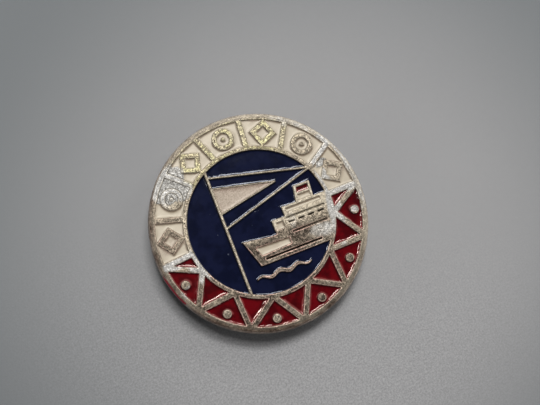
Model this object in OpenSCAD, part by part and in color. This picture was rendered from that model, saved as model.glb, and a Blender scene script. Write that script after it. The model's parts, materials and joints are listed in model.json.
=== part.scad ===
// Round struck-metal lapel badge with soft enamel cells and a swinging
// needle on its back. It lies face up: +Z is out of the face, +Y is the top
// of the design, and z = 0 is the lowest point of the back fittings.

/* [Badge blank] */
// Outer diameter of the struck disc
badge_d = 25; // [22:0.5:30]
// Thickness of the disc from back rim to front rim
badge_t = 1.9; // [1.7:0.1:2.4]
// Radius of the rounded front shoulder
shoulder_r = 0.35; // [0.25:0.05:0.4]
// Chamfer at the back edge
back_chamfer = 0.3; // [0.1:0.05:0.4]
// Radius of the shallow recess in the back
recess_r = 10.9; // [10.6:0.1:11.2]
// Depth of the recess in the back
recess_d = 0.4; // [0.3:0.05:0.45]

/* [Enamel pools] */
// Outer radius of the two-colour border
border_ro = 11.72; // [11.6:0.02:11.8]
// Inner radius of the two-colour border
border_ri = 8.72; // [8.6:0.02:8.8]
// Radius of the picture field
field_r = 8.2; // [8.1:0.02:8.3]
// Depth of the pools below the front rim
pool_d = 0.75; // [0.5:0.05:0.8]
// How far the enamel lies below the metal lines
enamel_drop = 0.2; // [0.1:0.05:0.35]

/* [Border ornament] */
// Angle of the right-hand divider between the two border colours
right_div = 1.5; // [0:0.5:4]
// Angle of the left-hand divider between the two border colours
left_div = 185; // [182:0.5:188]
// Width of the border's metal lines
border_w = 0.68; // [0.4:0.02:0.72]
// Number of panels in the upper border
panels = 7; // [5:2:9]
// Outer radius of a porthole ring
porthole_r = 1.3; // [1.1:0.05:1.3]
// Number of inward-pointing chevrons in the lower border
chevrons = 6; // [5:1:7]
// Radius of the round studs between the chevrons' arms
stud_r = 0.52; // [0.3:0.02:0.56]

/* [Rigging] */
// Width of the mast line
mast_w = 0.34; // [0.24:0.02:0.36]
// Width of the stays
stay_w = 0.26; // [0.2:0.02:0.3]
// Width of the sail's edges
sail_w = 0.2; // [0.16:0.02:0.24]

/* [Ship] */
// Width of the grooves between the decks
groove_w = 0.15; // [0.1:0.01:0.18]
// Depth of the deck grooves
groove_d = 0.3; // [0.15:0.05:0.4]

/* [Pin plate] */
// Gap between the back rim and the lowest fitting
lift = 2.2; // [2.1:0.1:2.8]
// Length of the steel strip
plate_l = 18; // [17:0.5:18.5]
// Width of the steel strip
plate_w = 4; // [4:0.1:4.6]
// Distance of the strip's centre line above the badge's centre
plate_y = 2; // [1:0.5:2.5]
// Width of the catch along the needle
catch_l = 2.2; // [1.6:0.1:2.6]
// Distance between the two fixing rivets
rivet_span = 9; // [8:0.5:10]
// Shank radius of the fixing rivets
rivet_r = 0.55; // [0.4:0.05:0.6]

/* [Needle] */
// Radius of the needle wire
wire_r = 0.35; // [0.3:0.01:0.38]
// Height of the needle's axis above the lowest fitting
needle_z = 0.85; // [0.8:0.01:0.9]
// Radius of the post the needle turns on
post_r = 0.6; // [0.5:0.05:0.65]
// Radial clearance of the needle's eye on the post
eye_clear = 0.05; // [0.02:0.01:0.1]
// Radius of the needle's ground shank
shank_r = 0.3; // [0.25:0.01:0.3]
// Distance from the post to the needle's point
needle_l = 16.6; // [16.4:0.1:16.8]
// Length of the tapered point
point_l = 3.4; // [3.2:0.1:3.6]

/* [Hidden] */
$fn = 96;

badge_r = badge_d / 2;
z_back = lift;
z_top = lift + badge_t;
z_floor = z_top - pool_d;
z_enamel = z_top - enamel_drop;
z_recess = z_back + recess_d;

// colours of the pieces
metal_c = [0.78, 0.74, 0.64];
steel_c = [0.62, 0.63, 0.65];
cream_c = [0.85, 0.80, 0.68];
red_c = [0.45, 0.03, 0.06];
blue_c = [0.06, 0.08, 0.22];

function pol(a, r) = [r * cos(a), r * sin(a)];
function unit(v) = v / norm(v);
function left_of(v) = [-v[1], v[0]];

// picture: upright mast, two stays that meet in the ring, and the sail between
mast_x = -3.9;
stay_top = [mast_x, 6.6];
stay_low = [mast_x, 0.5];
stay_end = [7.6, 3.85];
sail_head = [mast_x, 5.3];
sail_tack = [mast_x, 2.2];
sail_clew = [3.3, 3.7];

// ship in side view, bow at the left, running off the picture at the right
ship_pts = [[-2.8, -1.5], [0.5, -2], [1.2, -2], [1.2, -0.4], [2.8, -0.4],
            [2.8, 0.7], [4.6, 0.7], [4.95, 2.5], [6.95, 2.5], [6.8, 0.7],
            [9, 0.7], [9, -4.8], [-1.7, -4.8]];
hull_cell = [[-1.5, -2.7], [2.4, -2.85], [2.4, -3.5], [-1.15, -3.65]];
bridge_cell = [[1.6, -1.6], [1.6, -0.85], [2.4, -0.85], [2.4, -1.6]];
deck_cell = [[3.2, 0], [3.2, 0.36], [7.4, 0.36], [7.4, 0]];
funnel_cell = [[4.98, 0.8], [5.08, 1.35], [6.55, 1.35], [6.5, 0.8]];
band_cell = [[5.13, 1.62], [5.25, 2.2], [6.62, 2.2], [6.57, 1.62]];
// a row of windows, a deck edge and two lines along the hull
grooves = concat([for (k = [0 : 3]) [[3 + 1.2 * k, -1.2], [3.7 + 1.2 * k, -1.2]]],
                 [[[2.9, -0.66], [7.6, -0.66]], [[3.1, -2.35], [7.3, -2.35]],
                  [[-0.9, -4.2], [5.9, -4.2]]]);

// plain wave under the ship: middle line and half thickness
wave_n = 24;
function wave_mid(i) = [-2.7 + 6.6 * i / wave_n, -6.05 + 0.2 * sin(1080 * i / wave_n)];
function wave_half(i) = 0.1 + 0.16 * sin(180 * i / wave_n);

// a straight line of width w between two points
module bar(a, b, w) {
    n = left_of(unit(b - a)) * w / 2;
    polygon([a + n, b + n, b - n, a - n]);
}

// a flat shape raised between two heights
module slab(z0, z1) {
    translate([0, 0, z0]) linear_extrude(z1 - z0) children();
}

// angle of one upper panel, and the angle of its middle
panel_a = (left_div - right_div) / panels;
function panel_mid(k) = right_div + panel_a * (k + 0.5);
border_rm = (border_ro + border_ri) / 2;
chev_a = (360 + right_div - left_div) / (2 * chevrons);

// lozenge with its corners in the rim and in the inner ring line
module lozenge(z0, z1) {
    difference() {
        slab(z0, z1) polygon([[1.66, 0], [0, 1.6], [-1.66, 0], [0, -1.6]]);
        slab(z0 - 1, z1 + 1) polygon([[0.74, 0], [0, 0.72], [-0.74, 0], [0, -0.72]]);
    }
}

module porthole(z0, z1) {
    difference() {
        slab(z0, z1) circle(r = porthole_r);
        slab(z0 - 1, z1 + 1) circle(r = porthole_r - 0.6);
    }
    slab(z0, z1) circle(r = 0.25);
}

// every raised line of the border
module border_lines(z0, z1) {
    for (a = [right_div, left_div])
        slab(z0, z1) bar(pol(a, border_ri - 0.2), pol(a, border_ro + 0.2), border_w + 0.05);
    for (k = [1 : panels - 1])
        slab(z0, z1) bar(pol(right_div + k * panel_a - 1, border_ri - 0.2),
                         pol(right_div + k * panel_a + 1, border_ro + 0.2), border_w);
    for (k = [0 : panels - 1])
        rotate([0, 0, panel_mid(k)]) translate([border_rm, 0, 0])
            if (k % 2 == 0) lozenge(z0, z1); else porthole(z0, z1);
    for (k = [0 : chevrons - 1]) {
        a0 = left_div + 2 * k * chev_a;
        slab(z0, z1) bar(pol(a0 + 0.5, border_ro + 0.25),
                         pol(a0 + chev_a + 0.3, border_ri - 0.25), border_w);
        slab(z0, z1) bar(pol(a0 + chev_a - 0.3, border_ri - 0.25),
                         pol(a0 + 2 * chev_a - 0.5, border_ro + 0.25), border_w);
        slab(z0, z1) translate(pol(a0 + chev_a, border_rm + 0.75)) circle(r = stud_r);
    }
}

// every raised line of the mast, the stays and the sail's edges
module rig_lines(z0, z1) {
    slab(z0, z1) bar([mast_x, 8.6], [mast_x, -8.6], mast_w);
    slab(z0, z1) bar(stay_top, stay_end, stay_w);
    slab(z0, z1) bar(stay_low, stay_end, stay_w);
    slab(z0, z1) bar(sail_head, sail_clew, sail_w);
    slab(z0, z1) bar(sail_tack, sail_clew, sail_w);
}

module sail_area(z0, z1) {
    slab(z0, z1) polygon([sail_head, sail_clew, sail_tack]);
}

module ship_shape(z0, z1) {
    slab(z0, z1) polygon(ship_pts);
    slab(z0, z1) polygon(concat(
        [for (i = [0 : wave_n]) wave_mid(i) + [0, wave_half(i)]],
        [for (i = [wave_n : -1 : 0]) wave_mid(i) - [0, wave_half(i)]]));
}

module ship_cells(z0, z1) {
    for (c = [hull_cell, bridge_cell, deck_cell, funnel_cell, band_cell])
        slab(z0, z1) polygon(c);
}

// round blank with a rounded front shoulder and a chamfered back edge
module blank() {
    arc = [for (i = [0 : 5]) [badge_r - shoulder_r + shoulder_r * cos(i * 18),
                              z_top - shoulder_r + shoulder_r * sin(i * 18)]];
    rotate_extrude() polygon(concat([[0, z_back], [badge_r - back_chamfer, z_back],
        [badge_r, z_back + back_chamfer]], arc, [[0, z_top]]));
}

// struck disc: rim, ring line, raised lines, ship, and the recessed back
module badge_body() {
    color(metal_c) difference() {
        blank();
        // border pool around its raised lines
        difference() {
            slab(z_floor, z_top + 1) circle(r = border_ro);
            slab(z_floor - 1, z_top + 2) circle(r = border_ri);
            border_lines(z_floor - 1, z_top + 2);
        }
        // picture field around the rigging and the ship
        difference() {
            slab(z_floor, z_top + 1) circle(r = field_r);
            rig_lines(z_floor - 1, z_top + 2);
            ship_shape(z_floor - 1, z_top + 2);
        }
        ship_cells(z_floor, z_top + 1);
        for (g = grooves) slab(z_top - groove_d, z_top + 1) bar(g[0], g[1], groove_w);
        // back recess and blind holes for the fixing rivets
        slab(z_back - 1, z_recess) circle(r = recess_r);
        for (s = [-1, 1]) translate([s * rivet_span / 2, plate_y, 0])
            slab(z_recess - 0.1, z_recess + 0.45) circle(r = rivet_r);
    }
}

module border_sector(a0, a1, z0, z1) {
    n = 8;
    difference() {
        slab(z0, z1) circle(r = border_ro);
        slab(z0 - 1, z1 + 1) circle(r = border_ri);
        // the rest of the circle, outside the sector
        slab(z0 - 1, z1 + 1) polygon(concat([[0, 0]],
            [for (i = [0 : n]) pol(a1 + i * (360 - a1 + a0) / n, 16)]));
    }
}

module cream_enamel_ring() {
    color(cream_c) difference() {
        border_sector(right_div, left_div, z_floor, z_enamel);
        border_lines(z_floor - 1, z_enamel + 1);
    }
}

module red_enamel_ring() {
    color(red_c) difference() {
        border_sector(left_div, 360 + right_div, z_floor, z_enamel);
        border_lines(z_floor - 1, z_enamel + 1);
    }
}

// part of the picture field inside a polygon, less the raised lines
module field_part(pts) {
    difference() {
        intersection() {
            slab(z_floor, z_enamel) circle(r = field_r);
            slab(z_floor - 1, z_enamel + 1) polygon(pts);
        }
        rig_lines(z_floor - 2, z_enamel + 2);
    }
}

module blue_enamel_left() {
    color(blue_c) field_part([[mast_x, 11], [mast_x, -11], [-12, -11], [-12, 11]]);
}

module blue_enamel_top() {
    color(blue_c) field_part([stay_top, stay_end, [7.6, 11], [mast_x, 11]]);
}

module blue_enamel_rigging() {
    color(blue_c) difference() {
        field_part([stay_top, stay_end, stay_low]);
        sail_area(z_floor - 1, z_enamel + 1);
    }
}

module blue_enamel_sea() {
    color(blue_c) difference() {
        field_part([[mast_x, -11], stay_low, stay_end, [12, 3.85], [12, -11]]);
        ship_shape(z_floor - 1, z_enamel + 1);
    }
}

module cream_enamel_sail() {
    color(cream_c) difference() {
        sail_area(z_floor, z_enamel);
        rig_lines(z_floor - 1, z_enamel + 1);
    }
}

module cream_enamel_hull() {
    color(cream_c) slab(z_floor, z_enamel) polygon(hull_cell);
}

module cream_enamel_decks() {
    color(cream_c) for (c = [bridge_cell, deck_cell, funnel_cell])
        slab(z_floor, z_enamel) polygon(c);
}

module red_enamel_funnel() {
    color(red_c) slab(z_floor, z_enamel) polygon(band_cell);
}

// hinge post and catch positions along the strip
plate_x0 = -plate_l / 2 - 0.4;
hinge_x = plate_x0 + 1.8;
hinge_y = plate_y + 0.4;
eye_r = post_r + eye_clear + wire_r;
needle_y = hinge_y - eye_r;
catch_x1 = plate_x0 + plate_l - 0.6;
plate_t = recess_d;

// strip with its catch bent down from one edge and curled under the needle
module pin_plate() {
    t = 0.4;
    yo = plate_y - plate_w / 2;
    ye = needle_y + wire_r + 0.55;
    ro = 0.8;
    ri = ro - t;
    // catch section in y and z, clockwise from the strip's edge
    section = concat([[yo, z_back + 0.1], [yo, ro]],
        [for (i = [1 : 5]) [yo + ro - ro * cos(i * 15), ro - ro * sin(i * 15)]],
        [[yo + ro, 0], [ye, 0], [ye, t], [yo + ro, t]],
        [for (i = [5 : -1 : 1]) [yo + ro - ri * cos(i * 15), ro - ri * sin(i * 15)]],
        [[yo + t, ro], [yo + t, z_back + 0.1]]);
    color(steel_c) difference() {
        union() {
            slab(z_back, z_recess) polygon([
                [plate_x0 + 0.6, yo], [plate_x0 + plate_l, yo],
                [plate_x0 + plate_l, yo + plate_w], [plate_x0 + 0.6, yo + plate_w],
                [plate_x0, yo + plate_w - 0.6], [plate_x0, yo + 0.6]]);
            translate([catch_x1 - catch_l, 0, 0])
                rotate([90, 0, 90]) linear_extrude(catch_l) polygon(section);
        }
        slab(z_back - 1, z_recess + 1) translate([hinge_x, hinge_y]) circle(r = post_r + 0.2);
        for (s = [-1, 1]) slab(z_back - 1, z_recess + 1)
            translate([s * rivet_span / 2, plate_y]) circle(r = rivet_r);
    }
}

module plate_rivets() {
    color(metal_c) for (s = [-1, 1]) translate([s * rivet_span / 2, plate_y, 0]) {
        slab(z_back - 0.1, z_recess + 0.45) circle(r = rivet_r);
        translate([0, 0, z_back - 0.25]) cylinder(h = 0.25, r1 = 0.7, r2 = 0.95);
    }
}

// post with its head below the eye, a shoulder above it and a tail in the strip
module hinge_rivet() {
    color(steel_c) translate([hinge_x, hinge_y, 0]) rotate_extrude()
        polygon([[0, 0], [1.1, 0], [1.4, 0.25], [1.4, 0.4], [post_r, 0.4],
                 [post_r, needle_z + wire_r + 0.1], [1.15, needle_z + wire_r + 0.1],
                 [1.15, z_back], [post_r + 0.2, z_back], [post_r + 0.2, z_recess],
                 [0, z_recess]]);
}

// wire with an open eye at one end and a sharp point at the other
module needle() {
    color(steel_c) translate([hinge_x, hinge_y, needle_z]) {
        rotate_extrude(angle = 270) translate([eye_r, 0]) circle(r = wire_r);
        translate([0, -eye_r, 0]) rotate([0, 90, 0]) {
            cylinder(h = 1.8, r1 = wire_r, r2 = shank_r);
            translate([0, 0, 1.8]) cylinder(h = needle_l - point_l - 1.8, r = shank_r);
            translate([0, 0, needle_l - point_l]) cylinder(h = point_l, r1 = shank_r, r2 = 0.05);
        }
    }
}

badge_body();
cream_enamel_ring();
red_enamel_ring();
blue_enamel_left();
blue_enamel_top();
blue_enamel_rigging();
blue_enamel_sea();
cream_enamel_sail();
cream_enamel_hull();
cream_enamel_decks();
red_enamel_funnel();
pin_plate();
plate_rivets();
hinge_rivet();
needle();
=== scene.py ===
import json
import math

import bpy
import numpy as np
from mathutils import Matrix, Vector
from mathutils.geometry import delaunay_2d_cdt

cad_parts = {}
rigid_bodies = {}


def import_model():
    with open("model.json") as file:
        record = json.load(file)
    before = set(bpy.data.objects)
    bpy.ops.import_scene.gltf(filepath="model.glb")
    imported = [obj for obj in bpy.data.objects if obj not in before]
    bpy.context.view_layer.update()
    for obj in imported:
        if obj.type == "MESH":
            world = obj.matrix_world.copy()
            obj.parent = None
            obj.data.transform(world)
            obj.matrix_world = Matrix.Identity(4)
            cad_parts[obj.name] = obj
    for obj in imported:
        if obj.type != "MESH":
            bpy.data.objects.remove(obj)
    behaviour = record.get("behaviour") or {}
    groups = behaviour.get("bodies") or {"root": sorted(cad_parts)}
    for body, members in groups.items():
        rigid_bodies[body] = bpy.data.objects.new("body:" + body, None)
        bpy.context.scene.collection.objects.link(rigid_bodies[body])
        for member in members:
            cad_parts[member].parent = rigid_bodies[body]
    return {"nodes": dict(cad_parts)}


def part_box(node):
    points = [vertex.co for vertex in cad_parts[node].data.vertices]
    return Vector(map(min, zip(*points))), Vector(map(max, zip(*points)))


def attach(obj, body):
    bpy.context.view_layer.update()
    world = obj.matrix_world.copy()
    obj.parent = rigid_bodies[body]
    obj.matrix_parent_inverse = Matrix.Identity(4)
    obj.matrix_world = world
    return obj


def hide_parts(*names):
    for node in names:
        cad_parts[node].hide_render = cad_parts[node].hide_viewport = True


for _o in list(bpy.data.objects):
    bpy.data.objects.remove(_o, do_unlink=True)

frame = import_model()
bpy.context.view_layer.update()
NODES = frame["nodes"]
MM = 0.001


# ---------------------------------------------------------------- numbers

def node_mm(name):
    me = NODES[name].data
    co = np.zeros(len(me.vertices) * 3)
    me.vertices.foreach_get("co", co)
    co = co.reshape(-1, 3) * 1000
    me.calc_loop_triangles()
    tri = np.zeros(len(me.loop_triangles) * 3, np.int64)
    me.loop_triangles.foreach_get("vertices", tri)
    return co, tri.reshape(-1, 3)


def level_segments(name, z):
    """Outline of the node's flat faces at height z, as segments in mm."""
    co, tri = node_mm(name)
    flat = np.all(np.abs(co[tri][:, :, 2] - z) < 2e-3, axis=1)
    tri = tri[flat]
    key = np.round(co[:, :2] * 2000).astype(np.int64)
    uniq, inv = np.unique(key, axis=0, return_inverse=True)
    inv = np.asarray(inv).reshape(-1)
    t = inv[tri]
    e = np.concatenate([t[:, [0, 1]], t[:, [1, 2]], t[:, [2, 0]]])
    e.sort(axis=1)
    e = e[e[:, 0] != e[:, 1]]
    u, n = np.unique(e, axis=0, return_counts=True)
    u = u[n == 1]
    p = uniq / 2000.0
    return np.stack([p[u[:, 0]], p[u[:, 1]]], axis=1)


class Noise:
    """Smooth value noise on a plane, repeatable."""

    def __init__(self, seed):
        self.t = np.random.RandomState(seed).rand(256, 256)

    def __call__(self, x, y, scale):
        x, y = np.asarray(x) / scale + 37.13, np.asarray(y) / scale + 91.7
        i, j = np.floor(x).astype(int), np.floor(y).astype(int)
        u, v = x - i, y - j
        u, v = u * u * (3 - 2 * u), v * v * (3 - 2 * v)
        t = self.t
        a, b = t[i % 256, j % 256], t[(i + 1) % 256, j % 256]
        c, d = t[i % 256, (j + 1) % 256], t[(i + 1) % 256, (j + 1) % 256]
        return ((a * (1 - u) + b * u) * (1 - v) + (c * (1 - u) + d * u) * v) * 2 - 1

    def fbm(self, x, y, scale, octaves=3):
        out, amp = 0, 1.0
        for k in range(octaves):
            out = out + amp * self(np.asarray(x) + 11.7 * k, np.asarray(y) - 5.3 * k, scale / 2 ** k)
            amp *= 0.55
        return out


class Field:
    """Distance in mm to a set of outlines on a fine grid: above 0 inside them, below 0 outside."""

    def __init__(self, segs, cell=0.04, reach=1.1, pad=0.6):
        lo = segs.reshape(-1, 2).min(0) - pad
        hi = segs.reshape(-1, 2).max(0) + pad
        self.lo, self.cell = lo, cell
        nx, ny = (np.ceil((hi - lo) / cell).astype(int) + 1)
        self.nx, self.ny = nx, ny
        D = np.full((ny, nx), reach)
        for a, b in segs:
            i0, j0 = np.floor((np.minimum(a, b) - reach - lo) / cell).astype(int)
            i1, j1 = np.ceil((np.maximum(a, b) + reach - lo) / cell).astype(int) + 1
            i0, j0, i1, j1 = max(i0, 0), max(j0, 0), min(i1, nx), min(j1, ny)
            X = lo[0] + cell * np.arange(i0, i1)[None, :]
            Y = lo[1] + cell * np.arange(j0, j1)[:, None]
            d = b - a
            t = np.clip(((X - a[0]) * d[0] + (Y - a[1]) * d[1]) / (d @ d), 0, 1)
            q = np.hypot(X - a[0] - t * d[0], Y - a[1] - t * d[1])
            S = D[j0:j1, i0:i1]
            np.minimum(S, q, out=S)
        inside = np.zeros((ny, nx), bool)
        ys = lo[1] + cell * np.arange(ny) + 1.7e-5
        xs = lo[0] + cell * np.arange(nx)
        for j, y in enumerate(ys):
            a, b = segs[:, 0], segs[:, 1]
            hit = (a[:, 1] > y) != (b[:, 1] > y)
            a, b = a[hit], b[hit]
            cx = np.sort(a[:, 0] + (y - a[:, 1]) * (b[:, 0] - a[:, 0]) / (b[:, 1] - a[:, 1]))
            inside[j] = np.searchsorted(cx, xs) % 2 == 1
        self.V = np.where(inside, D, -D)

    def __call__(self, x, y):
        fx = np.clip((np.asarray(x) - self.lo[0]) / self.cell, 0, self.nx - 1.001)
        fy = np.clip((np.asarray(y) - self.lo[1]) / self.cell, 0, self.ny - 1.001)
        i, j = fx.astype(int), fy.astype(int)
        u, v = fx - i, fy - j
        V = self.V
        return ((V[j, i] * (1 - u) + V[j, i + 1] * u) * (1 - v)
                + (V[j + 1, i] * (1 - u) + V[j + 1, i + 1] * u) * v)

    def slope(self, x, y):
        """Direction in which the distance grows, as a unit vector."""
        if not hasattr(self, "G"):
            gy, gx = np.gradient(self.V)
            self.G = gx, gy
        i = np.clip(np.round((np.asarray(x) - self.lo[0]) / self.cell).astype(int), 0, self.nx - 1)
        j = np.clip(np.round((np.asarray(y) - self.lo[1]) / self.cell).astype(int), 0, self.ny - 1)
        gx, gy = self.G[0][j, i], self.G[1][j, i]
        m = np.maximum(np.hypot(gx, gy), 1e-9)
        return gx / m, gy / m

    def contours(self, level):
        """Closed outlines where the distance equals level."""
        V = self.V - level
        V = np.where(np.abs(V) < 1e-9, 1e-9, V)
        s = V > 0
        nx, ny = self.nx, self.ny
        pts, links = {}, {}

        def point(kind, i, j):
            k = (kind, i, j)
            if k not in pts:
                if kind == 0:
                    t = V[j, i] / (V[j, i] - V[j, i + 1])
                    pts[k] = (self.lo[0] + self.cell * (i + t), self.lo[1] + self.cell * j)
                else:
                    t = V[j, i] / (V[j, i] - V[j + 1, i])
                    pts[k] = (self.lo[0] + self.cell * i, self.lo[1] + self.cell * (j + t))
            return k

        mixed = (s[:-1, :-1].astype(int) + s[:-1, 1:] + s[1:, :-1] + s[1:, 1:])
        jj, ii = np.nonzero((mixed > 0) & (mixed < 4))
        for j, i in zip(jj.tolist(), ii.tolist()):
            a, b, c, d = s[j, i], s[j, i + 1], s[j + 1, i + 1], s[j + 1, i]
            e = []
            if a != b:
                e.append((0, i, j))
            if b != c:
                e.append((1, i + 1, j))
            if c != d:
                e.append((0, i, j + 1))
            if d != a:
                e.append((1, i, j))
            if len(e) == 4:
                mid = V[j, i] + V[j, i + 1] + V[j + 1, i] + V[j + 1, i + 1] > 0
                pairs = [(e[0], e[1]), (e[2], e[3])] if mid == a else [(e[3], e[0]), (e[1], e[2])]
                if mid != a:
                    pairs = [(e[3], e[0]), (e[1], e[2])]
                else:
                    pairs = [(e[0], e[1]), (e[2], e[3])]
            else:
                pairs = [(e[0], e[1])]
            for p, q in pairs:
                p, q = point(*p), point(*q)
                links.setdefault(p, []).append(q)
                links.setdefault(q, []).append(p)
        loops, seen = [], set()
        for start in links:
            if start in seen:
                continue
            loop, prev, cur = [start], None, start
            seen.add(start)
            while True:
                nxt = [n for n in links[cur] if n != prev and n not in seen]
                if not nxt:
                    break
                prev, cur = cur, nxt[0]
                seen.add(cur)
                loop.append(cur)
            loops.append(np.array([pts[k] for k in loop]))
        return [l for l in loops if len(l) > 5]


def even(loop, step, least=8):
    """The closed outline again, with points at an even spacing."""
    c = np.vstack([loop, loop[:1]])
    s = np.concatenate([[0], np.cumsum(np.hypot(*np.diff(c, axis=0).T))])
    n = max(least, int(round(s[-1] / step)))
    q = np.linspace(0, s[-1], n, endpoint=False)
    return np.stack([np.interp(q, s, c[:, 0]), np.interp(q, s, c[:, 1])], axis=1)


def inside(loops, p):
    """Which points lie inside the outlines, by crossing count."""
    a = np.vstack(loops)
    b = np.vstack([np.roll(l, -1, axis=0) for l in loops])
    out = np.zeros(len(p), int)
    for k in range(0, len(a), 400):
        A, B = a[k:k + 400], b[k:k + 400]
        y = p[:, 1][:, None]
        hit = (A[:, 1] > y) != (B[:, 1] > y)
        dy = np.where(B[:, 1] == A[:, 1], 1.0, B[:, 1] - A[:, 1])
        x = A[:, 0] + (y - A[:, 1]) * (B[:, 0] - A[:, 0]) / dy
        out += (hit & (x > p[:, 0][:, None])).sum(1)
    return out % 2 == 1


def triangulate(loops, loose):
    """Triangles over outlines (kept as edges) and loose points."""
    pts, edges, n = [], [], 0
    for l in loops:
        m = len(l)
        pts.append(l)
        edges += [(n + k, n + (k + 1) % m) for k in range(m)]
        n += m
    pts.append(loose)
    P = np.vstack(pts)
    v, _, f, _, _, _ = delaunay_2d_cdt([Vector(p) for p in P.tolist()], edges, [], 0, 1e-5, True)
    co = np.array([tuple(x) for x in v])
    return co, np.array([list(t) for t in f], np.int64)


def hex_points(lo, hi, step, seed):
    r = np.random.RandomState(seed)
    ys = np.arange(lo[1], hi[1], step * 0.866)
    out = []
    for k, y in enumerate(ys):
        x = np.arange(lo[0] + (k % 2) * step / 2, hi[0], step)
        out.append(np.stack([x, np.full(len(x), y)], axis=1))
    p = np.vstack(out)
    return p + (r.rand(*p.shape) - 0.5) * step * 0.35


def profile(d, table):
    xs, ys = np.array(table).T
    return np.interp(d, xs, ys)


def smooth(a, b, x):
    t = np.clip((np.asarray(x, float) - a) / (b - a), 0, 1)
    return t * t * (3 - 2 * t)


def make(name, co, faces, mat, attrs=None, flat=False):
    me = bpy.data.meshes.new(name)
    me.from_pydata((np.asarray(co) * MM).tolist(), [], [list(map(int, f)) for f in faces])
    me.validate(clean_customdata=False)
    me.update()
    if not flat:
        me.shade_smooth()
    for k, v in (attrs or {}).items():
        a = me.attributes.new(k, "FLOAT", "POINT")
        a.data.foreach_set("value", np.asarray(v, np.float32))
    me.materials.append(mat)
    o = bpy.data.objects.new(name, me)
    bpy.context.scene.collection.objects.link(o)
    return o


# ---------------------------------------------------------------- levels

BODY_LO, BODY_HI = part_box("badge_body")
Z_TOP = BODY_HI.z * 1000
Z_BACK = BODY_LO.z * 1000
R_OUT = BODY_HI.x * 1000
Z_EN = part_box("blue_enamel_sea")[1].z * 1000
Z_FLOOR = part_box("blue_enamel_sea")[0].z * 1000
ENAMEL = ["cream_enamel_ring", "red_enamel_ring", "blue_enamel_left", "blue_enamel_top",
          "blue_enamel_rigging", "blue_enamel_sea", "cream_enamel_sail", "cream_enamel_hull",
          "cream_enamel_decks", "red_enamel_funnel"]

N1, N2, N3 = Noise(3), Noise(17), Noise(29)


# ---------------------------------------------------------------- wear maps (mm)

def blob(x, y, cx, cy, rx, ry, turn, soft=0.45):
    a = math.radians(turn)
    u = (x - cx) * math.cos(a) + (y - cy) * math.sin(a)
    v = -(x - cx) * math.sin(a) + (y - cy) * math.cos(a)
    q = np.sqrt((u / rx) ** 2 + (v / ry) ** 2)
    return smooth(1 + soft, 1 - soft, q)


# rubbed places: centre, radii, turn, strength; the long patch at (11.7, 4.5) on the rim's upper-right edge serves as a
# painted highlight
RUBS = [(-8.2, 7.3, 2.3, 1.7, 48, 1.0), (-6.9, 6.2, 1.2, 0.9, 40, 0.9),
        (-8.55, -2.3, 0.75, 2.9, 16, 1.0), (-7.9, -4.4, 0.45, 1.3, 32, 0.8), (-10.4, -1.2, 1.9, 0.6, 3, 1.0),
        (-10.6, -4.6, 1.4, 0.5, 25, 0.8), (8.5, -2.0, 0.8, 3.8, -8, 1.0), (8.6, 2.4, 0.6, 2.4, 8, 0.9),
        (9.2, 5.2, 1.9, 0.6, 28, 0.95), (10.2, 6.6, 1.0, 0.7, 40, 0.8), (10.4, 0.2, 1.9, 0.5, 0, 0.95),
        (10.2, -2.2, 1.6, 0.5, -14, 0.7), (3.4, -0.9, 0.6, 1.2, 0, 0.40), (6.6, -3.4, 1.8, 0.9, -8, 0.55),
        (12.0, 1.0, 0.5, 4.5, 4, 0.5), (7.0, 9.6, 2.5, 0.6, -36, 0.45), (11.7, 4.5, 0.5, 3.6, 20, 0.8),
        (9.0, 8.2, 2.4, 0.5, -48, 0.4)]


def wear_at(x, y, rubs=RUBS):
    w = np.zeros_like(x)
    for cx, cy, rx, ry, t, k in rubs:
        w = np.maximum(w, k * blob(x, y, cx, cy, rx, ry, t))
    n = 0.5 + 0.5 * N2.fbm(x, y, 0.55, 3)
    return np.clip(w * (0.75 + 0.55 * n), 0, 1)


def arc(x, y, a0, a1, soft):
    """1 between two polar angles in degrees, falling off outside them."""
    mid, half = math.radians((a0 + a1) / 2), (a1 - a0) / 2
    off = np.degrees(np.abs((np.arctan2(y, x) - mid + np.pi) % (2 * np.pi) - np.pi))
    return smooth(half + soft, half - soft * 0.2, off)


# ---------------------------------------------------------------- materials

def mat_base(name):
    m = bpy.data.materials.new(name)
    m.use_nodes = True
    nt = m.node_tree
    nt.nodes.clear()
    out = nt.nodes.new("ShaderNodeOutputMaterial")
    b = nt.nodes.new("ShaderNodeBsdfPrincipled")
    nt.links.new(b.outputs[0], out.inputs[0])
    return m, nt, b


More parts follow.
